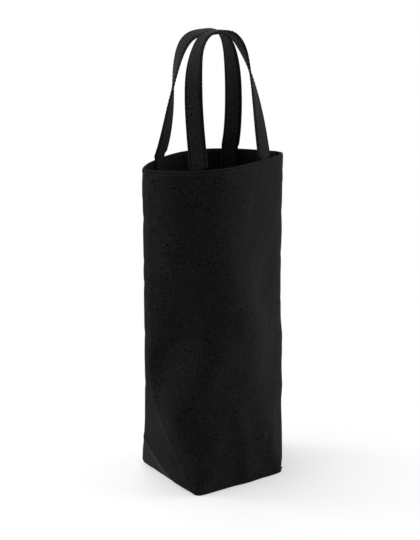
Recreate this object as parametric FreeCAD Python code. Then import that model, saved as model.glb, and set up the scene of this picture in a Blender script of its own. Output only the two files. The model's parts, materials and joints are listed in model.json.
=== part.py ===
import FreeCAD, Part
import math
import os

# A canvas bag for one bottle. Two panels form a boxed rectangular base that turns,
# over the lowest part of the wall, into a tube with a pointed oval mouth. Each panel is
# hemmed inside its rim, and two twisted strap handles are sewn in behind the hems.
# Frame: the origin is on the floor under the middle of the base, X runs across the front,
# -Y is the front and +Z is up. Lengths are in millimetres, angles in degrees.

# Body: the base rectangle, the mouth oval and the height over which one turns into the other
base_width = 92.4
base_depth = 88.0
base_corner_radius = 6.0
body_height = 270.0
turn_height = 100.0
turn_power = 1.5
mouth_width = 131.0
mouth_depth = 80.0
mouth_tip_radius = 9.0
mouth_side_flat = 2.4
mouth_front_flat = 4.0

# Cloth and sewing
canvas_thickness = 0.7
hem_depth = 25.0
hem_thickness = 1.4
seam_width = 8.0
seam_thickness = 1.4
ply_clearance = 0.1
seam_clearance = 0.3

# Handles
strap_width = 14.3
strap_thickness = 1.4
strap_end_length = 32.0
handle_height = 100.7
handle_span = 56.7
handle_splay = 6.1
handle_gap = 4.6
arch_power = 4.0
lean_power = 0.59
twist_power = 3.6
crown_angle = 111.0
hinge_clearance = 0.5

# Counts of the facets round a curve and of the sections that a loft passes through
tip_facet_count = 6
front_facet_count = 10
strap_facet_count = 3
turn_section_count = 6
handle_section_count = 29
handle_step_count = 900

ACROSS = FreeCAD.Vector(1, 0, 0)
ALONG = FreeCAD.Vector(0, 1, 0)
UP = FreeCAD.Vector(0, 0, 1)
RIGHT_ANGLE = 90.0

# Each ply lies further in than the one that it is sewn to
hem_inset = canvas_thickness + ply_clearance
strap_inset = hem_inset + hem_thickness + ply_clearance
strap_middle = strap_inset + strap_thickness / 2
seam_floor = canvas_thickness + ply_clearance

# The quarter oval is a tip arc and a front arc that meet where both face the same way
oval_width = (mouth_width - mouth_front_flat) / 2
oval_depth = (mouth_depth - mouth_side_flat) / 2
mouth_front_radius = oval_width ** 2 + oval_depth ** 2 - 2 * oval_width * mouth_tip_radius
mouth_front_radius /= 2 * (oval_depth - mouth_tip_radius)
meet_cosine = (oval_width - mouth_tip_radius) / (mouth_front_radius - mouth_tip_radius)
meet_angle = math.degrees(math.acos(meet_cosine))


def spaced(first, last, count):
    return [first + (last - first) * i / (count - 1) for i in range(count)]


# Outline of the wall at a height

class Quarter:
    """Right front quarter of the wall's outline at a height, a given depth inside its face.

    The base and the mouth are mixed where they face the same way, so that every section is
    made of the same lines and arcs, and the girth narrows little from the floor to the rim.
    """

    def __init__(self, z, inset):
        done_share = 1.0 - max(0.0, 1.0 - z / turn_height) ** turn_power

        def mixed(base, mouth):
            return base + (mouth - base) * done_share

        tip_radius = mixed(base_corner_radius, mouth_tip_radius)
        front_radius = mixed(base_corner_radius, mouth_front_radius)
        half_width = mixed(base_width / 2, mouth_width / 2)
        self.z = z
        self.side_flat = mixed(base_depth / 2 - base_corner_radius, mouth_side_flat / 2)
        self.tip_centre = (half_width - tip_radius, self.side_flat)
        shift = tip_radius - front_radius
        meet = math.radians(meet_angle)
        self.front_centre = (
            self.tip_centre[0] + shift * math.cos(meet),
            self.tip_centre[1] + shift * math.sin(meet),
        )
        self.tip_radius = tip_radius - inset
        self.front_radius = front_radius - inset

    def point(self, centre, radius, facing):
        """Point of an arc that faces an angle, counted from the side towards the front."""
        angle = math.radians(facing)
        x = centre[0] + radius * math.cos(angle)
        y = centre[1] + radius * math.sin(angle)
        return FreeCAD.Vector(x, -y, self.z)

    def tip(self, facing):
        return self.point(self.tip_centre, self.tip_radius, facing)

    def front(self, facing):
        return self.point(self.front_centre, self.front_radius, facing)

    def side(self, distance):
        """Point at a distance from the seam, on the side's flat and then round the tip."""
        if distance <= self.side_flat:
            return FreeCAD.Vector(self.tip_centre[0] + self.tip_radius, -distance, self.z)
        return self.tip(math.degrees((distance - self.side_flat) / self.tip_radius))


def mirrored(point):
    return FreeCAD.Vector(-point.x, point.y, point.z)


def half_outline(z, inset, seam_distance):
    """Corners of the front half of the outline, from near its right seam to its left one.

    The arcs are drawn as narrow facets. A facet faces one way all the way up, so it is flat
    however the outline turns.
    """
    quarter = Quarter(z, inset)
    right = [quarter.side(seam_distance)]
    right += [quarter.tip(angle) for angle in spaced(0.0, meet_angle, tip_facet_count + 1)]
    right += [quarter.front(angle) for angle in spaced(meet_angle, RIGHT_ANGLE, front_facet_count + 1)[1:]]
    return right + [mirrored(point) for point in right[::-1]]


# Plies of cloth that follow the wall

def band_wire(z, inset, thickness, seam_distance):
    """Closed section of a ply that runs round the front half of the wall."""
    outer = half_outline(z, inset, seam_distance)
    inner = half_outline(z, inset + thickness, seam_distance)
    return Part.makePolygon(outer + inner[::-1] + outer[:1])


def raised(section, low, high):
    """Solid between two heights: lofted while the wall turns, straight above that."""
    solids = []
    if low < turn_height:
        wires = [section(z) for z in spaced(low, min(high, turn_height), turn_section_count)]
        solids.append(Part.makeLoft(wires, True, True))
    if high > turn_height:
        bottom = max(low, turn_height)
        solids.append(Part.Face(section(bottom)).extrude(UP * (high - bottom)))
    return solids[0].fuse(solids[1:]) if solids[1:] else solids[0]


def flipped(shape, axis):
    return shape.mirror(FreeCAD.Vector(0, 0, 0), axis)


def make_panel():
    """Front wall with its half of the base folded in under it."""
    wall = raised(lambda z: band_wire(z, 0.0, canvas_thickness, 0.0), 0.0, body_height)
    corners = half_outline(0.0, 0.0, 0.0)
    base = Part.Face(Part.makePolygon(corners + corners[:1])).extrude(UP * canvas_thickness)
    return wall.fuse(base).removeSplitter()


def make_hem():
    """Turned ply inside the front rim, clear of the other hem at both seams."""
    return raised(
        lambda z: band_wire(z, hem_inset, hem_thickness, seam_clearance),
        body_height - hem_depth,
        body_height,
    )


def make_side_seam():
    """Bound allowance of the right side seam, laid flat along the front wall."""
    def section(z):
        quarter = Quarter(z, hem_inset)
        first = quarter.side(seam_clearance)
        last = quarter.side(seam_clearance + seam_width)
        depth = UP.cross(last - first).normalize() * -seam_thickness
        return Part.makePolygon([first, last, last + depth, first + depth, first])

    low = seam_floor + seam_thickness + seam_clearance
    return raised(section, low, body_height - hem_depth - seam_clearance)


def make_corner_seam():
    """Allowance of the left boxed corner, lying on the base along its left edge."""
    half_length = base_depth / 2 - base_corner_radius
    corner = FreeCAD.Vector(hem_inset - base_width / 2, -half_length, seam_floor)
    return Part.makeBox(seam_width, 2 * half_length, seam_thickness, corner)


def make_base_seam():
    """Allowance of the seam across the base, lying on the rear half."""
    half_length = base_width / 2 - hem_inset - seam_width - seam_clearance
    corner = FreeCAD.Vector(-half_length, seam_clearance, seam_floor)
    return Part.makeBox(2 * half_length, seam_width, seam_thickness, corner)


# Handles

leg_x = handle_span / 2 + handle_splay
rim = Quarter(body_height, strap_middle)
leg_facing = math.degrees(math.acos((leg_x - rim.front_centre[0]) / rim.front_radius))
leg_point = rim.front(leg_facing)
crown_tilt = math.radians(crown_angle - RIGHT_ANGLE)
crown_reach = (strap_width * math.cos(crown_tilt) + strap_thickness * math.sin(crown_tilt)) / 2
apex_y = -(handle_gap / 2 + crown_reach)
leg_half_angle = math.degrees(strap_width / 2 / rim.front_radius)
hinge_z = body_height + hinge_clearance


def make_strap_end():
    """Right sewn end of the front strap, bent to the wall over the hem."""
    low = body_height - strap_end_length
    angles = spaced(leg_facing - leg_half_angle, leg_facing + leg_half_angle, strap_facet_count + 1)
    outer, inner = (
        [Quarter(low, inset).front(angle) for angle in angles]
        for inset in (strap_inset, strap_inset + strap_thickness)
    )
    wire = Part.makePolygon(outer + inner[::-1] + outer[:1])
    return Part.Face(wire).extrude(UP * strap_end_length)


def handle_line(turn):
    """Point of the strap's middle line: turn runs from -90 at the left leg to 90 at the right."""
    across, ahead = math.sin(math.radians(turn)), math.cos(math.radians(turn))
    rise_share = abs(ahead) ** (2.0 / arch_power)
    reach = handle_span / 2 * abs(across) ** (2.0 / arch_power)
    reach += handle_splay * (1.0 - rise_share) ** 2
    y = leg_point.y + (apex_y - leg_point.y) * rise_share ** lean_power
    return FreeCAD.Vector(math.copysign(reach, across), y, hinge_z + handle_height * rise_share)


def even_handle_points():
    """Points at even distances along the strap's middle line."""
    fine = [handle_line(turn) for turn in spaced(-RIGHT_ANGLE, RIGHT_ANGLE, handle_step_count)]
    along = [0.0]
    for p, q in zip(fine, fine[1:]):
        along.append(along[-1] + p.distanceToPoint(q))
    wanted = spaced(0.0, along[-1], handle_section_count)
    return [min(zip(along, fine), key=lambda pair: abs(pair[0] - d))[1] for d in wanted]


def strap_section(points, i):
    """Rectangle of the strap, turned from facing out at the rim to facing up at the crown."""
    last = len(points) - 1
    run = (points[min(i + 1, last)] - points[max(i - 1, 0)]).normalize()
    if i in (0, last):
        run = UP if i == 0 else -UP
    out = (run * ALONG.dot(run) - ALONG).normalize()
    to_crown_share = 1.0 - abs(2.0 * i / last - 1.0)
    rim_angle = RIGHT_ANGLE - leg_facing
    turned_share = to_crown_share ** twist_power * (1.0 + twist_power * (1.0 - to_crown_share))
    twist = math.radians(rim_angle + (crown_angle - rim_angle) * turned_share)
    wide = run.cross(out) * math.cos(twist) + out * math.sin(twist)
    thick = run.cross(wide) * (strap_thickness / 2)
    wide = wide * (strap_width / 2)
    edge_steps = [wide + thick, thick - wide, -wide - thick, wide - thick, wide + thick]
    return Part.makePolygon([points[i] + step for step in edge_steps])


def make_handle():
    """Free loop of the front strap, from rim to rim."""
    points = even_handle_points()
    return Part.makeLoft([strap_section(points, i) for i in range(len(points))], True, True)


front_panel = make_panel()
front_hem = make_hem()
front_handle = make_handle()
right_end = make_strap_end()
right_side_seam = flipped(make_side_seam(), ALONG)
left_corner_seam = make_corner_seam()

parts = {
    "base_seam": make_base_seam(),
    "left_corner_seam": left_corner_seam,
    "right_corner_seam": flipped(left_corner_seam, ACROSS),
    "right_side_seam": right_side_seam,
    "left_side_seam": flipped(right_side_seam, ACROSS),
}
front_parts = {
    "panel": front_panel,
    "hem": front_hem,
    "handle": front_handle,
    "strap_right_end": right_end,
    "strap_left_end": flipped(right_end, ACROSS),
}
for name, shape in front_parts.items():
    parts["front_" + name] = shape
    parts["rear_" + name] = flipped(shape, ALONG)

os.makedirs("parts", exist_ok=True)
for name, shape in parts.items():
    solid = shape.Solids[0]
    print(name, len(shape.Solids), solid.isValid(), round(solid.Volume, 1))
    solid.exportStep("parts/" + name + ".step")
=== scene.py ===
import json
import math

import bmesh
import bpy
import numpy as np
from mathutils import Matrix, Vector


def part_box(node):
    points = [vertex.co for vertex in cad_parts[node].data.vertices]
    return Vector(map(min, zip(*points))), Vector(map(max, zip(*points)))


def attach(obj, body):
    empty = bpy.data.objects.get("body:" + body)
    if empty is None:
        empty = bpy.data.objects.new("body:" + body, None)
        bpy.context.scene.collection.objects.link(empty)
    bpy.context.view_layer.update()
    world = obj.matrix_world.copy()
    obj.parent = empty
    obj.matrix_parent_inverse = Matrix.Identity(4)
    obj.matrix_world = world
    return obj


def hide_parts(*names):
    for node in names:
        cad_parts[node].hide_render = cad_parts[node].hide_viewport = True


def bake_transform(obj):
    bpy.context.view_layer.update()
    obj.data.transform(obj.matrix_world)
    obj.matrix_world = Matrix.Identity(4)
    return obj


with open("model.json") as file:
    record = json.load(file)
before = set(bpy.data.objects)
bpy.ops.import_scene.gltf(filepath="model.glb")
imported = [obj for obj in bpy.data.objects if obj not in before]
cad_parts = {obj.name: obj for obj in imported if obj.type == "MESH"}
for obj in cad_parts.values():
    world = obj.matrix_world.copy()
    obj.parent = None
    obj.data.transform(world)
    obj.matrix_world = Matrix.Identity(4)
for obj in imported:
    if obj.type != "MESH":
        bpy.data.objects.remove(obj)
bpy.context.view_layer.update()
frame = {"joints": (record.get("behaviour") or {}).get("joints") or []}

# A black canvas bag for one bottle, standing on its boxed base with both strap handles up.
# Lengths are in metres and angles in degrees. X runs across the front, -Y is the front, +Z is up.
# A share runs across a panel from -1 at its left seam to 1 at its right seam.

MM = 0.001
FRONT, REAR = -1, 1
LEFT, RIGHT = -1, 1
PANELS = {"front": FRONT, "rear": REAR}
HANDS = {"left": LEFT, "right": RIGHT}

# Sizes of the solids that the cloth stands for
panel_low, panel_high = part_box("front_panel")
hem_low, hem_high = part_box("front_hem")
corner_low, corner_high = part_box("right_corner_seam")
side_seam_low, side_seam_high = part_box("right_side_seam")
base_seam_low, base_seam_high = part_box("base_seam")
end_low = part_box("front_strap_right_end")[0]
handle_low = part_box("front_handle")[0]
body_height = panel_high.z
ply_inset = panel_high.x - hem_high.x
hem_depth = hem_high.z - hem_low.z
mouth_half_width = panel_high.x
mouth_half_depth = ply_inset - hem_low.y
base_half_width = corner_high.x + ply_inset
base_half_depth = -panel_low.y

# Outline of the body
base_corner_radius = 6.0 * MM
turn_height = 100.0 * MM
turn_power = 1.5
mouth_tip_radius = 9.0 * MM
mouth_side_half_flat = 1.2 * MM
mouth_front_half_flat = 2.0 * MM

# Cloth and sewing
canvas_thickness = 0.7 * MM
rim_roll = 1.1 * MM
base_roll = 1.0 * MM
seam_roll = 0.4 * MM
seam_tuck = 3.0 * MM
hem_thickness = 1.4 * MM
hem_end_gap = 0.5 * MM
strip_thickness = 1.3 * MM
strip_start = 1.0 * MM
strip_width = base_seam_high.y - strip_start
base_edge_share = 0.3
rim_row_depth = 3.2 * MM

# Stitches: their shares are of the pitch, of the bow's height or of the thread's radius
stitch_pitch = 3.2 * MM
rim_stitch_radius = 0.28 * MM
strap_stitch_radius = 0.42 * MM
stitch_bow = 0.12 * MM
stitch_start_share = 0.12
stitch_length_share = 0.76
stitch_sink_share = 0.6
stitch_end_share = 0.25
stitch_flat_share = 0.8

# Section of straps and bindings: powers that draw it thin towards its edges, and its rise in the middle
ribbon_spread_power = 0.8
ribbon_edge_powers = (7, 1.0 / 3.0)
ribbon_rise_share = 0.12

# Straps: a thickness of folded canvas with a row of stitches along each edge
strap_width = 14.6 * MM
strap_thickness = 1.5 * MM
strap_inset = 3.0 * MM
strap_row_inset = 1.5 * MM
strap_groove = 0.3 * MM
strap_groove_width = 0.6 * MM
strap_release = 5.0 * MM
strap_run_step = 1.5 * MM
strap_face_step = 0.2 * MM

# Each strap's loop. The legs splay by amounts of their own, the slant lifts the right shoulder, the crown
# stands at a depth from the bag's middle and drifts to one side, the powers shape the arch and the lean,
# and the turns are the strap's angles at even steps from the left leg over the crown to the right one
lean_ease = 0.3
loops = {
    FRONT: {
        "span": 61.0 * MM, "splays": (3.2 * MM, 1.8 * MM), "height": 105.8 * MM, "slant": 1.8 * MM,
        "depth": 20.7 * MM, "drift": -10.9 * MM, "arch_power": 2.84, "lean_power": 0.64,
        "turns": [30.1, 41.0, 46.3, 56.4, 91.8, 95.4, 92.0, 56.7, 33.9, 19.0, 12.8],
    },
    REAR: {
        "span": 58.2 * MM, "splays": (5.6 * MM, 6.1 * MM), "height": 102.7 * MM, "slant": 5.2 * MM,
        "depth": -1.5 * MM, "drift": -10.5 * MM, "arch_power": 3.75, "lean_power": 0.05,
        "turns": [16.1, 21.8, 37.1, 68.5, 90.4, 105.5, 84.2, 63.3, 53.8, 51.0, 46.0],
    },
}

# How far the rim stands above or below its level, at even shares from left to right
rim_lift = {
    FRONT: [-0.3 * MM, 0.9 * MM, 1.5 * MM, 1.1 * MM, -1.7 * MM],
    REAR: [-0.3 * MM, -1.1 * MM, -0.1 * MM, -1.2 * MM, -1.7 * MM],
}
rim_lift_reach = 90.0 * MM

# Soft forms of the standing cloth, in millimetres: the points of a line on the panel, each a distance from
# the panel's middle and a height, then the form's half width and how far it stands out
soft_forms = {
    FRONT: [
        ([(26, 300), (30, 170)], 32, -5.4),
        ([(40, 170), (40, 80)], 22, -2.0),
        ([(64, 262), (66, 145)], 15, 1.3),
        ([(66, 110), (60, 72)], 15, 2.4),
        ([(-58, 250), (-58, 195)], 15, 2.2),
        ([(-22, 205), (-4, 165), (8, 138), (4, 118)], 23, 3.4),
        ([(-50, 138), (-68, 108)], 14, -3.5),
        ([(-26, 118), (-40, 92), (-56, 65)], 17, 6.2),
        ([(-52, 10), (-64, 40), (-75, 80)], 9, -2.2),
        ([(5, 8), (3, 40), (-4, 66)], 9, 1.8),
        ([(44, 0), (48, 2)], 5, -1.4),
        ([(47, 6), (45, 46)], 10, -1.6),
        ([(26, 32), (30, 38)], 3, -0.8),
        ([(-46, 259), (-41, 254)], 4, -0.6),
    ],
    REAR: [
        ([(-30, 290), (-26, 80)], 20, -1.8),
        ([(34, 236), (12, 150), (16, 104)], 12, -1.3),
        ([(40, 102), (66, 58)], 10, 1.7),
        ([(-14, 6), (-24, 56)], 7, 1.3),
    ],
}
seam_calm = 14.0

# Puckers beside the side seams, in millimetres: their heights, slope, reach from the seam, half width and
# depth
pucker_heights = {LEFT: [262, 226, 189, 171, 128, 84], RIGHT: [250, 214, 178, 139, 97, 62]}
pucker_slope = 0.5
pucker_reach = 13.0
pucker_width = 4.0
pucker_depth = -0.6

# Left boxed corner, in millimetres: a fold runs up the side from a place in front of the seam to one behind
# it. The cloth rises slowly to it from the front and drops sharply behind it. There the corner's colour is
# painted paler, a painted highlight for the light on the facet behind the fold, most of all in a strip up
# to a second line. That line's blur is negative, as the strip fades there
fold_low = (18.0, 0.0)
fold_high = (-25.0, 31.0)
strip_low = (-4.0, 0.0)
fold_rise = 3.0
fold_step = 1.2
fold_floor = 4.0
fold_reaches = (3.4, 30.0)
fold_top = 40.0
fold_fade = 24.0
fold_back = 30.0
fold_blur = 0.4
strip_blur = -1.0
corner_highlight_shares = (0.4, 0.6)
corner_highlight_tone = 2.9

# Step of the cloth at the hem's lower edge, in millimetres
hem_step = 0.3
hem_step_width = 3.0

# Uneven lie of the whole cloth, in millimetres: the height of each pattern, then the two waves that are
# multiplied for it, each with its pace across the panel, its pace up it and its start by panel
rumples = [
    (0.16, (0.11, 0.05, 1.0), (-0.04, 0.13, 0.0)),
    (0.112, (0.23, -0.17, 0.0), (0.19, 0.07, 2.0)),
]

# Cloth and thread: colours, sheen, pitch of the yarns and depth of their relief
canvas_colour = (0.0088, 0.0088, 0.0092)
# Painted light: the straps are the same black canvas, coloured paler than the body to stand in for the
# light on them
strap_lit_colour = (0.0118, 0.0118, 0.0122)
rim_thread_colour = (0.022, 0.022, 0.0225)
# Painted shade: the straps' black thread is coloured far darker than the canvas, for the shade in the
# stitch holes and grooves
strap_thread_colour = (0.0010, 0.0010, 0.0011)
canvas_sheen = 0.010
strap_sheen = 0.045
yarn_pitch = 0.72 * MM
yarn_relief = 0.14 * MM
ply_pace = 9000.0
ply_relief = 0.05 * MM

# Stage: the floor pales to white between two distances from the bag, and each lamp has a place, a size and
# a power
floor_size = 8.0
floor_tone = 0.70
floor_fade = (0.07, 0.30)
floor_white_shares = (0.42, 1.0)
world_light = 0.15
lamps = {
    "right_softbox": ((1.30, -0.58, 0.38), (0.9, 0.7), 25.0),
    "left_softbox": ((-1.20, 0.20, 0.60), (0.7, 0.8), 11.0),
    "left_rear_softbox": ((-0.95, 0.95, 0.70), (0.5, 0.8), 13.0),
    "top_softbox": ((0.0, 0.40, 1.60), (1.6, 1.6), 27.0),
}

# Camera at the photograph's place; the focal length is in pixels of a frame 540 pixels high
camera_place = (-0.6634, -0.9950, 0.5405)
camera_tilt = 16.94
camera_turn = 33.54
focal_pixels = 1513.0
frame_pixels = 540.0
sensor_width = 36.0

# Fineness of the meshes
FRONT_COLUMNS = 84
SIDE_COLUMNS = 44
ZONE_ROWS = (30, 112, 10, 9, 9)
ROLL_STEPS = 6
RIM_STEPS = 10
HEM_COLUMNS = 161
HEM_ROWS = 24
HEM_FOLD_STEPS = 9
SIDE_BINDING_ROWS = 110
FLOOR_BINDING_ROWS = 40
RIBBON_POINTS = 23
STRAP_SECTIONS = 300
LOOP_POINTS = 2000
END_POINTS = 200
RIM_POINTS = 401
TURN_POINTS = 801
TURN_EASE_POINTS = 121
STITCH_RINGS = 7
STITCH_CORNERS = 6

oval_width = mouth_half_width - mouth_front_half_flat
oval_depth = mouth_half_depth - mouth_side_half_flat
mouth_front_radius = oval_width ** 2 + oval_depth ** 2 - 2 * oval_width * mouth_tip_radius
mouth_front_radius /= 2 * (oval_depth - mouth_tip_radius)
meet_angle = math.acos((oval_width - mouth_tip_radius) / (mouth_front_radius - mouth_tip_radius))
corner_distance = base_half_width - base_corner_radius + base_corner_radius * math.pi / 4
base_half_girth = base_half_width + base_half_depth - base_corner_radius * (2 - math.pi / 2)
corner_share = corner_distance / (base_half_girth - seam_roll)


def mixed(first, last, share):
    return first + (last - first) * share


def smooth(value):
    value = np.clip(value, 0.0, 1.0)
    return value * value * (3.0 - 2.0 * value)


def unit(vectors):
    return vectors / np.linalg.norm(vectors, axis=-1, keepdims=True)


def across_line(low, high):
    """Direction on the left side square to a line that starts on the floor, and the line's place on it."""
    run = np.subtract(high, low)
    across = (0.0, *run[::-1] / np.hypot(*run))
    return across, -low[0] * across[1]


# Shape of the cloth

def outline(share, z):
    """Place on the outer face, the way it faces, the distance from the panel's middle and that at its seam.

    The floor's rectangle and the mouth's pointed oval are mixed where they face the same way.
    """
    done = 1.0 - np.clip(1.0 - z / turn_height, 0.0, 1.0) ** turn_power
    tip_radius = mixed(base_corner_radius, mouth_tip_radius, done)
    front_radius = mixed(base_corner_radius, mouth_front_radius, done)
    side_flat = mixed(base_half_depth - base_corner_radius, mouth_side_half_flat, done)
    tip_x = mixed(base_half_width, mouth_half_width, done) - tip_radius
    front_x = tip_x + (tip_radius - front_radius) * math.cos(meet_angle)
    front_y = side_flat + (tip_radius - front_radius) * math.sin(meet_angle)
    front_arc = math.pi / 2 - meet_angle
    before_tip = front_x + front_radius * front_arc
    before_side = before_tip + tip_radius * meet_angle
    half_girth = before_side + side_flat - seam_roll
    distance = np.abs(share) * half_girth
    in_front = np.clip((distance - front_x) / front_radius, 0.0, front_arc)
    in_tip = np.clip((distance - before_tip) / tip_radius, 0.0, meet_angle)
    facing = math.pi / 2 - in_front - in_tip
    on_tip = distance > before_tip
    x = np.where(on_tip, tip_x + tip_radius * np.cos(facing), front_x + front_radius * np.cos(facing))
    x = x - np.maximum(front_x - distance, 0.0)
    y = np.where(on_tip, side_flat + tip_radius * np.sin(facing), front_y + front_radius * np.sin(facing))
    y = y - np.maximum(distance - before_side, 0.0)
    hand = np.where(share < 0, LEFT, RIGHT)
    return x * hand, y, facing, distance * hand, half_girth


def lift(side, share, z):
    """The rim's own rise and fall, which fades out below it."""
    curve = np.polyfit(np.linspace(-1.0, 1.0, len(rim_lift[side])), rim_lift[side], len(rim_lift[side]) - 1)
    return np.polyval(curve, share) * smooth((z - body_height + rim_lift_reach) / rim_lift_reach)


def line_distance(distance, z, points):
    """Shortest distance on the cloth to a line through some points."""
    nearest = np.full(distance.shape, np.inf)
    for start, end in zip(points, points[1:]):
        run = np.subtract(end, start)
        along = ((distance - start[0]) * run[0] + (z - start[1]) * run[1]) / (run @ run)
        along = np.clip(along, 0.0, 1.0)
        away = np.hypot(distance - start[0] - along * run[0], z - start[1] - along * run[1])
        nearest = np.minimum(nearest, away)
    return nearest


def swell(side, distance, half_girth, z):
    """How far the cloth stands out from the plain outline."""
    distance, half_girth, z = (values / MM for values in np.broadcast_arrays(distance, half_girth, z))
    from_seam = half_girth - np.abs(distance)
    out = np.zeros(distance.shape)
    for points, width, height in soft_forms[side]:
        out += height * np.exp(-(line_distance(distance, z, points) / width) ** 2)
    for height, *waves in rumples:
        for across_pace, up_pace, start in waves:
            height = height * np.sin(across_pace * distance + up_pace * z + start * side)
        out += height
    out *= smooth(from_seam / seam_calm)
    for hand, heights in pucker_heights.items():
        for height in heights:
            rise = z - height - pucker_slope * from_seam
            pucker = np.exp(-(from_seam / pucker_reach) ** 2 - (rise / pucker_width) ** 2)
            out += np.where(distance * hand > 0, pucker_depth * pucker, 0.0)
    across, fold_place = across_line(fold_low, fold_high)
    behind = side * from_seam * across[1] + z * across[2] - fold_place
    fall = np.clip(1.0 - np.abs(behind) / np.where(behind > 0, *fold_reaches), 0.0, 1.0)
    rise = np.where(behind > 0, mixed(fold_step, fold_rise, fall), fold_rise * smooth(fall))
    rise = rise * smooth(z / fold_floor) * smooth((fold_top - z) / fold_fade)
    rise = rise * smooth(2.0 - behind / fold_back)
    out += np.where(distance < 0, rise, 0.0)
    hem_edge = (body_height - hem_depth) / MM
    out += hem_step * smooth((z - hem_edge) / hem_step_width)
    return out * MM


def wall(side, share, z, inset=0.0, lift_share=1.0):
    """Points of a panel's wall and the way they face, a given depth inside its outer face."""
    share, z, inset = np.broadcast_arrays(share, z, inset)
    x, y, facing, distance, half_girth = outline(share, np.maximum(z, 0.0))
    out = swell(side, distance, half_girth, z) - inset
    hand = np.where(share < 0, LEFT, RIGHT)
    normal = np.stack([hand * np.cos(facing), side * np.sin(facing), np.zeros_like(x)], -1)
    points = np.stack([x, side * y, z + lift_share * lift(side, share, z)], -1) + normal * out[..., None]
    return points, normal


# Meshes

def quads(index):
    """Faces between neighbouring entries of a table of vertex numbers."""
    corners = index[:-1, :-1], index[:-1, 1:], index[1:, 1:], index[1:, :-1]
    return np.stack(corners, -1).reshape(-1, 4)


def mesh_object(name, points, faces, uvs, material, closed=True):
    mesh = bpy.data.meshes.new(name)
    mesh.from_pydata([tuple(p) for p in points], [], [tuple(int(i) for i in f) for f in faces])
    layer = mesh.uv_layers.new(name="cloth")
    corners = np.zeros(len(mesh.loops), np.int32)
    mesh.loops.foreach_get("vertex_index", corners)
    layer.data.foreach_set("uv", np.asarray(uvs, np.float32)[corners].ravel())
    mesh.polygons.foreach_set("use_smooth", np.ones(len(mesh.polygons), bool))
    if closed:
        turned = bmesh.new()
        turned.from_mesh(mesh)
        bmesh.ops.recalc_face_normals(turned, faces=turned.faces)
        turned.to_mesh(mesh)
        turned.free()
    mesh.validate()
    mesh.update()
    mesh.materials.append(material)
    piece = bpy.data.objects.new(name, mesh)
    bpy.context.scene.collection.objects.link(piece)
    return piece


def tube_faces(rings, around):
    """Faces of a closed-ended tube whose vertices are numbered ring by ring."""
    index = np.arange(rings * around).reshape(rings, around)
    faces = [tuple(f) for f in quads(np.concatenate([index, index[:, :1]], 1))]
    return faces + [tuple(index[0][::-1]), tuple(index[-1])]


def tube(name, points, across, along, material):
    """Closed tube through rings of points, with its cloth laid out by distances across and along it."""
    uvs = np.stack(np.broadcast_arrays(across[None, :], along[:, None]), -1)
    faces = tube_faces(*points.shape[:2])
    return mesh_object(name, points.reshape(-1, 3), faces, uvs.reshape(-1, 2), material)


def ribbon_profile(width, thickness, groove_depth=0.0, groove_place=0.0):
    """Flat section with rounded edges, hollowed a little along both rows of stitches."""
    half = width / 2
    ease = np.sin(np.radians(np.linspace(-90.0, 90.0, RIBBON_POINTS)))
    across = half * np.sign(ease) * np.abs(ease) ** ribbon_spread_power
    plump = (1.0 - np.abs(across / half) ** ribbon_edge_powers[0]) ** ribbon_edge_powers[1]
    height = thickness / 2 * plump * (1.0 + ribbon_rise_share * (1.0 - (across / half) ** 2))
    groove = np.exp(-((np.abs(across) - half + groove_place) / strap_groove_width) ** 2)
    height = height - groove_depth * groove * plump
    upper = np.stack([across, height], -1)
    lower = np.stack([across, -height], -1)[-2:0:-1]
    return np.concatenate([upper, lower])


# Materials

class Nodes:
    """Adds and links the nodes of one material or world."""

    def __init__(self, owner):
        owner.use_nodes = True
        self.tree = owner.node_tree
        self.tree.nodes.clear()

    def add(self, kind, inputs=None, **settings):
        node = self.tree.nodes.new(kind)
        for key, value in settings.items():
            setattr(node, key, value)
        for key, value in (inputs or {}).items():
            if isinstance(value, bpy.types.NodeSocket):
                self.tree.links.new(value, node.inputs[key])
            else:
                node.inputs[key].default_value = value
        return node

    def math(self, operation, first, second=0.0):
        return self.add("ShaderNodeMath", {0: first, 1: second}, operation=operation).outputs[0]

    def stretched(self, vector, scales):
        return self.add("ShaderNodeVectorMath", {0: vector, 1: scales}, operation="MULTIPLY").outputs[0]

    def noise(self, vector, scale, detail=2.0, roughness=0.5):
        inputs = {"Vector": vector, "Scale": scale, "Detail": detail, "Roughness": roughness}
        return self.add("ShaderNodeTexNoise", inputs).outputs["Fac"]

    def between(self, value, low, high, to_low, to_high):
        inputs = {"Value": value, "From Min": low, "From Max": high, "To Min": to_low, "To Max": to_high}
        return self.add("ShaderNodeMapRange", inputs).outputs["Result"]

    def specks(self, vector, scale, chosen_above, near, far):
        """Small round spots in some of the cells of an uneven pattern: 1 in a spot and 0 outside."""
        cells = self.add("ShaderNodeTexVoronoi", {"Vector": vector, "Scale": scale}).outputs
        drawn = self.add("ShaderNodeSeparateColor", {0: cells["Color"]}).outputs[0]
        chosen = self.math("GREATER_THAN", drawn, chosen_above)
        return self.math("MULTIPLY", self.between(cells["Distance"], near, far, 1.0, 0.0), chosen)

    def past(self, place, low, high, blur):
        """0 in front of a line on the left side and 1 behind it."""
        across, line_place = across_line(low, high)
        inputs = {0: place, 1: across}
        along = self.add("ShaderNodeVectorMath", inputs, operation="DOT_PRODUCT").outputs["Value"]
        return self.between(along, (line_place - blur) * MM, (line_place + blur) * MM, 0.0, 1.0)

    def painted_corner_highlight(self):
        """How much the left boxed corner is painted paler behind its fold, a painted highlight for the
        light on that facet.
        """
        place = self.add("ShaderNodeTexCoord").outputs["Object"]
        x, _, z = self.add("ShaderNodeSeparateXYZ", {0: place}).outputs
        behind = self.past(place, fold_low, fold_high, fold_blur)
        strip = self.past(place, strip_low, fold_high, strip_blur)
        strip = self.math("MULTIPLY", strip, corner_highlight_shares[1])
        painted_light_mask = self.math("MULTIPLY", behind, self.math("ADD", strip, corner_highlight_shares[0]))
        low = self.between(z, fold_high[1] * MM, fold_top * MM, 1.0, 0.0)
        on_left = self.between(x, -base_half_width, base_corner_radius - base_half_width, 1.0, 0.0)
        return self.math("MULTIPLY", self.math("MULTIPLY", painted_light_mask, low), on_left)


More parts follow.
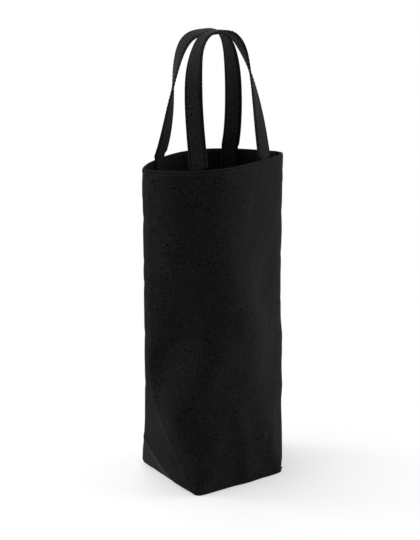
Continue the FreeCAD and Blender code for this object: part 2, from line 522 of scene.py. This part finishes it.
def canvas_material(name, colour, sheen):
    """Matt black plain weave with uneven yarn, faint clouding, dark neps and pale flecks of lint."""
    material = bpy.data.materials.new(name)
    nodes = Nodes(material)
    cloth = nodes.add("ShaderNodeUVMap", uv_map="cloth").outputs["UV"]
    split = nodes.add("ShaderNodeSeparateXYZ", {0: cloth}).outputs
    wander = nodes.between(nodes.noise(cloth, 420.0), 0.0, 1.0, -0.22, 0.22)
    turn = math.pi / yarn_pitch
    warp = nodes.math("SINE", nodes.math("ADD", nodes.math("MULTIPLY", split[0], turn), wander))
    weft = nodes.math("SINE", nodes.math("ADD", nodes.math("MULTIPLY", split[1], turn), wander))
    weave = nodes.math("ABSOLUTE", nodes.math("MULTIPLY", warp, weft))
    slub_up = nodes.noise(nodes.stretched(cloth, (1.0, 0.16, 1.0)), 900.0, 3.0, 0.6)
    slub_across = nodes.noise(nodes.stretched(cloth, (0.16, 1.0, 1.0)), 900.0, 3.0, 0.6)
    slub = nodes.math("ADD", slub_up, slub_across)
    grain = nodes.noise(cloth, 620.0, 3.0, 0.7)
    cloud = nodes.noise(cloth, 60.0, 3.0, 0.55)
    nep = nodes.specks(cloth, 170.0, 0.45, 0.10, 0.21)
    lint = nodes.specks(nodes.stretched(cloth, (1.0, 0.55, 1.0)), 150.0, 0.8, 0.05, 0.12)
    # Painted highlight: paler colour behind the left boxed corner's fold, for the light on that facet
    tone = nodes.between(nodes.painted_corner_highlight(), 0.0, 1.0, 1.0, corner_highlight_tone)
    for pattern, low, high, tone_low, tone_high in (
        (weave, 0.0, 1.0, 0.62, 1.12),
        (slub, 0.7, 1.3, 0.62, 1.38),
        (grain, 0.3, 0.7, 0.25, 1.75),
        (cloud, 0.3, 0.7, 0.88, 1.12),
        (nep, 0.0, 1.0, 1.0, 0.1),
        (lint, 0.0, 1.0, 1.0, 1.6),
    ):
        tone = nodes.math("MULTIPLY", tone, nodes.between(pattern, low, high, tone_low, tone_high))
    shade = nodes.add("ShaderNodeVectorMath", {0: colour, "Scale": tone}, operation="SCALE").outputs[0]
    height = nodes.math("ADD", weave, nodes.math("MULTIPLY", slub, 0.6))
    height = nodes.math("SUBTRACT", nodes.math("ADD", height, grain), nep)
    bump = nodes.add("ShaderNodeBump", {"Strength": 0.6, "Distance": yarn_relief, "Height": height})
    surface = nodes.add("ShaderNodeBsdfPrincipled", {
        "Base Color": shade,
        "Roughness": nodes.between(grain, 0.3, 0.7, 0.82, 0.95),
        "Specular IOR Level": 0.03,
        "Sheen Weight": sheen,
        "Sheen Roughness": 0.45,
        "Normal": bump.outputs[0],
    })
    nodes.add("ShaderNodeOutputMaterial", {"Surface": surface.outputs[0]})
    return material


def thread_material(name, colour):
    """Black sewing thread: two plies wound round each other."""
    material = bpy.data.materials.new(name)
    nodes = Nodes(material)
    cloth = nodes.add("ShaderNodeUVMap", uv_map="cloth").outputs["UV"]
    split = nodes.add("ShaderNodeSeparateXYZ", {0: cloth}).outputs
    ply = nodes.math("SINE", nodes.math("ADD", nodes.math("MULTIPLY", split[1], ply_pace), split[0]))
    tone = nodes.between(ply, -1.0, 1.0, 0.8, 1.15)
    shade = nodes.add("ShaderNodeVectorMath", {0: colour, "Scale": tone}, operation="SCALE")
    bump = nodes.add("ShaderNodeBump", {"Strength": 0.5, "Distance": ply_relief, "Height": ply})
    surface = nodes.add("ShaderNodeBsdfPrincipled", {
        "Base Color": shade.outputs[0],
        "Roughness": nodes.between(ply, -1.0, 1.0, 0.85, 0.75),
        "Specular IOR Level": 0.0,
        "Normal": bump.outputs[0],
    })
    nodes.add("ShaderNodeOutputMaterial", {"Surface": surface.outputs[0]})
    return material


canvas = canvas_material("black_canvas", canvas_colour, canvas_sheen)
# The straps' canvas is a paler copy of the body's: painted light
lit_strap_canvas = canvas_material("black_strap_canvas", strap_lit_colour, strap_sheen)
rim_thread = thread_material("black_rim_thread", rim_thread_colour)
# The straps' thread is a darker copy of the black thread: painted shade
shaded_strap_thread = thread_material("black_strap_thread", strap_thread_colour)


# Panels: each is one sheet that runs from the middle of the base, out and up the wall, and over the rim

def wall_columns():
    side_part = np.linspace(corner_share, 1.0, SIDE_COLUMNS + 1)[1:]
    front_part = np.linspace(-corner_share, corner_share, FRONT_COLUMNS + 1)
    return np.concatenate([-side_part[::-1], front_part, side_part])


def wall_rows():
    """Heights and insets from the turned lower edge, up the wall and over the rolled rim."""
    quarter = np.radians(np.linspace(0.0, 90.0, ROLL_STEPS))
    low = np.stack([base_roll * (1.0 - np.cos(quarter)), base_roll * (1.0 - np.sin(quarter))], -1)
    top = body_height - rim_roll
    hem_zone = body_height - hem_depth
    hem_edge = hem_zone + 2 * hem_step_width * MM
    rim_zone = body_height - 2 * rim_row_depth
    zones = [base_roll, fold_high[1] * MM, hem_zone, hem_edge, rim_zone, top]
    heights = np.concatenate([
        np.linspace(start, end, count)[1:] for start, end, count in zip(zones, zones[1:], ZONE_ROWS)
    ])
    middle = np.stack([heights, np.zeros_like(heights)], -1)
    over = np.radians(np.linspace(0.0, 180.0, RIM_STEPS))[1:]
    roll = np.stack([top + rim_roll * np.sin(over), rim_roll * (1.0 - np.cos(over))], -1)
    return np.concatenate([low, middle, roll])


def seam_columns():
    """Distance from the seam and inset of the cloth that turns in beside it."""
    turn = np.radians(np.linspace(0.0, 90.0, ROLL_STEPS))[1:]
    rolled = np.stack([seam_roll * (1.0 - np.sin(turn)), seam_roll * (1.0 - np.cos(turn))], -1)
    tucked = np.array([[0.0, seam_roll + seam_tuck / 2], [0.0, seam_roll + seam_tuck]])
    return np.concatenate([rolled, tucked])


def seam_turned_in(edge, edge_uv, side, hand, turned):
    """Columns of a panel that turn into the bag beside a side seam, and their places on the cloth."""
    columns = np.repeat(edge, len(turned), 1)
    columns[..., 0] -= hand * turned[:, 1]
    columns[..., 1] = side * turned[:, 0]
    tuck = np.cumsum(np.linalg.norm(np.diff(turned, axis=0, prepend=turned[:1]), axis=1))
    uv = np.repeat(edge_uv, len(turned), 1)
    uv[..., 0] += hand * tuck
    return columns, uv


def seam_turned_up(edge, side, turned):
    """Rows of the base that turn up into the bag beside its middle seam."""
    rows = np.repeat(edge[None], len(turned), 0)
    rows[..., 1] = side * turned[:, :1]
    rows[..., 2] += turned[:, 1:]
    return rows


def base_patch(fold, left_edge, right_edge):
    """Half of the base, spanned between the fold under the wall and both sewn side edges."""
    u = np.linspace(0.0, 1.0, len(fold))[None, :, None]
    v = np.linspace(0.0, 1.0, len(left_edge))[:, None, None]
    seam = mixed(left_edge[-1], right_edge[-1], u)
    ends = mixed(mixed(fold[0], fold[-1], u), mixed(left_edge[-1], right_edge[-1], u), v)
    patch = mixed(fold[None], seam, v) + mixed(left_edge[:, None], right_edge[:, None], u) - ends
    turned_in = np.array([seam_roll, base_edge_share * seam_roll])
    patch[1:, [0, 1], 2] += turned_in
    patch[1:, [-1, -2], 2] += turned_in
    return patch


def make_panel(name, side):
    shares, rows, turned = wall_columns(), wall_rows(), seam_columns()
    points, _ = wall(side, shares[None, :], rows[:, :1], rows[:, 1:])
    distance = outline(shares[None, :], rows[:, :1])[3]
    uv = np.stack(np.broadcast_arrays(distance, rows[:, :1]), -1)
    left, uv_left = seam_turned_in(points[:, :1], uv[:, :1], side, LEFT, turned)
    right, uv_right = seam_turned_in(points[:, -1:], uv[:, -1:], side, RIGHT, turned)
    points = np.concatenate([left[:, ::-1], points, right], 1)
    uv = np.concatenate([uv_left[:, ::-1], uv, uv_right], 1)
    index = np.arange(points.shape[0] * points.shape[1]).reshape(points.shape[:2])

    first = len(turned) + SIDE_COLUMNS
    under = slice(first, first + FRONT_COLUMNS + 1)
    fold = points[0, under]
    left_edge = points[0, len(turned):first + 1][::-1]
    right_edge = points[0, first + FRONT_COLUMNS:len(index[0]) - len(turned)]
    base = base_patch(fold, left_edge, right_edge)
    base = np.concatenate([base, seam_turned_up(base[-1], side, turned)])
    rows_in = np.cumsum(np.linalg.norm(np.diff(base[:, len(fold) // 2], axis=0), axis=1))
    base_uv = np.stack(np.broadcast_arrays(uv[:1, under, 0], -rows_in[:, None]), -1)
    base_index = index.size + np.arange(base[1:, :, 0].size).reshape(base[1:].shape[:2])
    base_index = np.concatenate([index[:1, under], base_index])[::-1]

    faces = np.concatenate([quads(index), quads(base_index)])
    if side == REAR:
        faces = faces[:, ::-1]
    vertices = np.concatenate([points.reshape(-1, 3), base[1:].reshape(-1, 3)])
    uvs = np.concatenate([uv.reshape(-1, 2), base_uv.reshape(-1, 2)])
    panel = mesh_object(name, vertices, faces, uvs, canvas, closed=False)
    cloth = panel.modifiers.new("cloth", "SOLIDIFY")
    cloth.thickness = canvas_thickness
    cloth.offset = -1.0
    return panel


# Hems and bound seam allowances

def make_hem(name, side):
    """Turned ply inside a panel's rim, from under the rolled edge to its lower fold."""
    half_girth = outline(np.array(1.0), np.array(body_height))[4]
    shares = np.linspace(-1.0, 1.0, HEM_COLUMNS) * (1.0 - hem_end_gap / half_girth)
    half = hem_thickness / 2
    top, low = body_height - rim_roll, body_height - hem_depth + half
    face = np.linspace(low, top, HEM_ROWS)
    half_turn = np.radians(np.linspace(180.0, 360.0, HEM_FOLD_STEPS))[1:-1]
    outer = np.stack([face[::-1], np.full_like(face, ply_inset)], -1)
    fold = np.stack([low + half * np.sin(half_turn), ply_inset + half + half * np.cos(half_turn)], -1)
    inner = np.stack([face, np.full_like(face, ply_inset + hem_thickness)], -1)
    loop = np.concatenate([outer, fold, inner])
    points, _ = wall(side, shares[:, None], loop[None, :, 0], loop[None, :, 1])
    length = np.cumsum(np.linalg.norm(np.diff(loop, axis=0, prepend=loop[:1]), axis=1))
    return tube(name, points, length, shares * half_girth, canvas)


def make_side_binding(name, hand):
    """Bound allowance of a side seam, laid along the rear wall."""
    profile = ribbon_profile(strip_width, strip_thickness)
    heights = np.linspace(side_seam_low.z, side_seam_high.z, SIDE_BINDING_ROWS)
    half_girth = outline(np.array(1.0), heights)[4]
    from_seam = strip_start + strip_width / 2 + profile[:, 0]
    shares = hand * (1.0 - from_seam[None, :] / half_girth[:, None])
    inset = ply_inset + strip_thickness / 2 + profile[:, 1]
    points, _ = wall(REAR, shares, heights[:, None], inset[None, :])
    return tube(name, points, profile[:, 0], heights, canvas)


def make_floor_binding(name, start, end):
    """Bound allowance that lies on the base, along a straight line."""
    profile = ribbon_profile(strip_width, strip_thickness)
    along = np.linspace(0.0, 1.0, FLOOR_BINDING_ROWS)
    run = unit(np.subtract(end, start))
    wide = np.cross((0.0, 0.0, 1.0), run)
    middles = mixed(np.array(start), np.array(end), along[:, None])
    flat = middles[:, None] + wide * profile[None, :, :1]
    points = flat + np.array((0.0, 0.0, 1.0)) * profile[None, :, 1:]
    return tube(name, points, profile[:, 0], along * np.linalg.norm(np.subtract(end, start)), canvas)


# Straps

class Strap:
    """One strap: sewn end, loop above the rim, sewn end."""

    def __init__(self, side):
        self.side = side
        self.shape = loops[side]
        self.half_girth = outline(np.array(1.0), np.array(body_height))[4]
        self.end = handle_low.z - end_low.z
        self.line = self.middle_line()
        steps = np.linalg.norm(np.diff(self.line, axis=0), axis=1)
        self.fine = np.concatenate([[0.0], np.cumsum(steps)])
        self.length = self.fine[-1]
        self.loop_length = self.length - 2 * self.end
        ease = np.hanning(TURN_EASE_POINTS)
        coarse = np.linspace(0.0, 1.0, len(self.shape["turns"]))
        self.loop_shares = np.linspace(0.0, 1.0, TURN_POINTS)
        turns = np.interp(self.loop_shares, coarse, np.radians(self.shape["turns"]))
        self.turns = np.convolve(np.pad(turns, len(ease) // 2, mode="edge"), ease / ease.sum(), "valid")

    def middle_line(self):
        """Points of the loop's arch, with a straight sewn end under each leg."""
        shape = self.shape
        turn = np.radians(np.linspace(-90.0, 90.0, LOOP_POINTS))
        rise = np.abs(np.cos(turn)) ** (2.0 / shape["arch_power"])
        reach = shape["span"] / 2 * np.abs(np.sin(turn)) ** (2.0 / shape["arch_power"])
        reach += np.where(turn < 0, *shape["splays"]) * (1.0 - rise) ** 2
        x = np.copysign(reach, turn) + shape["drift"] * rise
        shares = np.linspace(-1.0, 1.0, RIM_POINTS)
        rim, _ = wall(self.side, shares, body_height, strap_inset, lift_share=0.0)
        self.leg_shares = np.interp(x[[0, -1]], rim[:, 0], shares)
        leg_y = np.interp(x[[0, -1]], rim[:, 0], rim[:, 1])
        leg_y = np.where(turn < 0, leg_y[0], leg_y[1])
        leaned = (rise + lean_ease) ** shape["lean_power"] - lean_ease ** shape["lean_power"]
        y = mixed(leg_y, self.side * shape["depth"], leaned / leaned.max())
        z = handle_low.z + shape["height"] * rise + shape["slant"] * np.sin(turn) * rise ** 2
        loop = np.stack([x, y, z], -1)
        below = np.linspace(-self.end, 0.0, END_POINTS)
        down = np.stack([np.zeros_like(below), np.zeros_like(below), below], -1)
        return np.concatenate([(loop[0] + down)[:-1], loop, (loop[-1] + down)[::-1][1:]])

    def point(self, along):
        along = np.clip(along, 0.0, self.length)
        return np.stack([np.interp(along, self.fine, self.line[:, k]) for k in range(3)], -1)

    def loose(self, along, across, through):
        """Points of the free strap, which turns from facing out at the rim to facing up at the crown."""
        run = unit(self.point(along + strap_run_step) - self.point(along - strap_run_step))
        back = np.array([0.0, self.side, 0.0])
        out = unit(back - run * (run @ back)[..., None])
        twist = np.interp((along - self.end) / self.loop_length, self.loop_shares, self.turns)[..., None]
        wide = np.cross(run, out) * -self.side * np.cos(twist) + out * np.sin(twist)
        return self.point(along) + wide * across[..., None] + np.cross(run, wide) * through[..., None]

    def sewn(self, along, across, through):
        """Points of the strap where it lies along the wall."""
        from_end = np.minimum(along, self.length - along)
        on_left = along < self.length / 2
        share = np.where(on_left, self.leg_shares[0], self.leg_shares[1])
        share = share - np.where(on_left, LEFT, RIGHT) * across / self.half_girth
        inset = strap_inset - self.side * through
        return wall(self.side, share, end_low.z + from_end, inset, lift_share=0.0)[0]

    def place(self, along, across, through):
        """Points at distances along the strap, across its width and through its thickness."""
        along, across, through = np.broadcast_arrays(along, across, through)
        above_rim = np.minimum(along, self.length - along) - self.end
        free = smooth(above_rim / strap_release)[..., None]
        return mixed(self.sewn(along, across, through), self.loose(along, across, through), free)

    def facing(self, along, across, through):
        """Directions through the thickness and across the width."""
        step = strap_face_step
        outward = self.place(along, across, through + step) - self.place(along, across, through - step)
        sideways = self.place(along, across + step, through) - self.place(along, across - step, through)
        return unit(outward), unit(sideways)


def make_strap(name, strap):
    along = np.linspace(0.0, strap.length, STRAP_SECTIONS)
    profile = ribbon_profile(strap_width, strap_thickness, strap_groove, strap_row_inset)
    points = strap.place(along[:, None], profile[None, :, 0], profile[None, :, 1])
    return tube(name, points, profile[:, 0], along, lit_strap_canvas)


# Stitches

def stitches(name, material, radius, rows, first, last):
    """Rows of short raised stitches: rows gives points, outward and sideways directions along each row."""
    count = max(2, int(round((last - first) / stitch_pitch)))
    pitch = (last - first) / count
    t = np.linspace(0.0, 1.0, STITCH_RINGS)
    starts = first + pitch * (np.arange(count) + stitch_start_share)
    along = starts[:, None] + t[None] * pitch * stitch_length_share
    bow = np.sin(np.pi * t)
    around = np.radians(np.linspace(0.0, 360.0, STITCH_CORNERS, endpoint=False))
    size = radius * np.sqrt(np.maximum(bow, stitch_end_share))
    vertices, uvs = [], []
    for points, out, across in rows(along):
        centre = points + out * (stitch_bow * (bow - stitch_sink_share))[None, :, None]
        ring = across[..., None, :] * np.cos(around)[:, None]
        ring = ring + out[..., None, :] * np.sin(around)[:, None] * stitch_flat_share
        vertices.append((centre[..., None, :] + ring * size[None, :, None, None]).reshape(-1, 3))
        uv = np.stack(np.broadcast_arrays(around[None, None], along[..., None]), -1)
        uvs.append(uv.reshape(-1, 2))
    vertices, uvs = np.concatenate(vertices), np.concatenate(uvs)
    one = np.array(tube_faces(len(t), len(around))[:-2])
    every = np.arange(len(vertices)).reshape(-1, len(t) * len(around))[:, :1, None]
    faces = (every + one[None]).reshape(-1, 4)
    return mesh_object(name, vertices, faces, uvs, material, closed=False)


def wall_row(side, z, inset, outwards):
    """Row of stitches round a panel at a height, on its outer face or inside."""
    half = float(outline(np.array(1.0), np.array(z))[4])

    def rows(distance):
        points, normal = wall(side, distance / half, np.full_like(distance, z), inset)
        up = np.zeros_like(points)
        up[..., 2] = 1.0
        yield points, normal * outwards, up

    return rows, -half + stitch_pitch, half - stitch_pitch


def strap_rows(strap):
    """Rows of stitches along both edges of a strap, on both of its faces."""
    def rows(along):
        for edge in (-1.0, 1.0):
            for face in (-1.0, 1.0):
                across = edge * (strap_width / 2 - strap_row_inset)
                through = face * (strap_thickness / 2 - strap_groove / 2)
                outward, sideways = strap.facing(along, across, through)
                yield strap.place(along, across, through), outward * face, sideways

    return rows, stitch_pitch, strap.length - stitch_pitch


# The bag

def part(piece, body, material_slot, *nodes):
    if body:
        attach(piece, body)
    if nodes:
        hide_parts(*nodes)
    return piece


def add_panel(word, side):
    panel = part(make_panel(word + "_canvas_panel", side), "bag", "canvas", word + "_panel")
    hem = part(make_hem(word + "_rim_hem", side), "bag", "canvas", word + "_hem")
    z = body_height - rim_row_depth
    outside_row = wall_row(side, z, 0.0, 1.0)
    inside_row = wall_row(side, z, ply_inset + hem_thickness, -1.0)
    outside = stitches(word + "_rim_stitches_outside", rim_thread, rim_stitch_radius, *outside_row)
    inside = stitches(word + "_rim_stitches_inside", rim_thread, rim_stitch_radius, *inside_row)
    for row in (outside, inside):
        part(row, "bag", "canvas")


def add_strap(word, side):
    strap = Strap(side)
    ends = [f"{word}_strap_{hand}_end" for hand in HANDS]
    ribbon = part(make_strap(word + "_strap", strap), None, "strap", word + "_handle", *ends)
    rows = stitches(word + "_strap_stitches", shaded_strap_thread, strap_stitch_radius, *strap_rows(strap))
    part(rows, None, "strap")
    hinge = next(joint for joint in frame["joints"] if joint["child"] == word + "_handle")
    bend_start = Vector(hinge["pos_m"])
    for piece in (ribbon, rows):
        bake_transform(piece)


def add_bindings():
    height = ply_inset + strip_thickness / 2
    edge_x = corner_high.x - strip_width / 2
    for word, hand in HANDS.items():
        side_strip = make_side_binding(word + "_side_binding", hand)
        start = (hand * edge_x, corner_low.y, height)
        end = (hand * edge_x, corner_high.y, height)
        corner_strip = make_floor_binding(word + "_corner_binding", start, end)
        for strip, node in ((side_strip, word + "_side_seam"), (corner_strip, word + "_corner_seam")):
            part(strip, "bag", "canvas", node)
    seam_y = strip_start + strip_width / 2
    start = (base_seam_low.x, seam_y, height)
    end = (base_seam_high.x, seam_y, height)
    part(make_floor_binding("base_binding", start, end), "bag", "canvas", "base_seam")


for word, side in PANELS.items():
    add_panel(word, side)
    add_strap(word, side)
add_bindings()


# Stage

def make_floor():
    bpy.ops.mesh.primitive_plane_add(size=floor_size)
    floor = bpy.context.object
    floor.name = "floor"
    material = bpy.data.materials.new("pale_floor")
    nodes = Nodes(material)
    near = nodes.add("ShaderNodeBsdfDiffuse", {"Color": (floor_tone, floor_tone, floor_tone, 1.0)})
    far = nodes.add("ShaderNodeEmission", {"Color": (1.0, 1.0, 1.0, 1.0), "Strength": 1.0})
    place = nodes.add("ShaderNodeTexCoord").outputs["Object"]
    distance = nodes.add("ShaderNodeVectorMath", {0: place}, operation="LENGTH").outputs["Value"]
    faded = nodes.between(distance, *floor_fade, *floor_white_shares)
    seen = nodes.math("MULTIPLY", faded, nodes.add("ShaderNodeLightPath").outputs["Is Camera Ray"])
    surface = nodes.add("ShaderNodeMixShader", {0: seen, 1: near.outputs[0], 2: far.outputs[0]})
    nodes.add("ShaderNodeOutputMaterial", {"Surface": surface.outputs[0]})
    floor.data.materials.append(material)


def make_world():
    world = bpy.data.worlds.new("studio")
    bpy.context.scene.world = world
    nodes = Nodes(world)
    seen = nodes.add("ShaderNodeBackground", {"Color": (1.0, 1.0, 1.0, 1.0), "Strength": 1.0})
    light = nodes.add("ShaderNodeBackground", {"Color": (1.0, 1.0, 1.0, 1.0), "Strength": world_light})
    rays = nodes.add("ShaderNodeLightPath").outputs
    direct = nodes.math("MAXIMUM", rays["Is Camera Ray"], rays["Is Glossy Ray"])
    direct = nodes.math("MAXIMUM", direct, rays["Is Transmission Ray"])
    mix = nodes.add("ShaderNodeMixShader", {0: direct, 1: light.outputs[0], 2: seen.outputs[0]})
    nodes.add("ShaderNodeOutputWorld", {"Surface": mix.outputs[0]})


def make_lamp(name, place, size, power):
    lamp = bpy.data.lights.new(name, "AREA")
    lamp.shape = "RECTANGLE"
    lamp.size, lamp.size_y = size
    lamp.energy = power
    holder = bpy.data.objects.new(name, lamp)
    holder.location = place
    middle = Vector((0.0, 0.0, body_height / 2))
    holder.rotation_euler = (middle - Vector(place)).to_track_quat("-Z", "Y").to_euler()
    bpy.context.scene.collection.objects.link(holder)


def make_camera():
    data = bpy.data.cameras.new("camera")
    data.sensor_width = sensor_width
    data.lens = focal_pixels / frame_pixels * sensor_width
    camera = bpy.data.objects.new("camera", data)
    camera.location = camera_place
    camera.rotation_euler = (math.radians(90.0 - camera_tilt), 0.0, math.radians(-camera_turn))
    bpy.context.scene.collection.objects.link(camera)
    bpy.context.scene.camera = camera


make_floor()
make_world()
for name, (place, size, power) in lamps.items():
    make_lamp(name, place, size, power)
make_camera()
bpy.context.scene.view_settings.view_transform = "Standard"
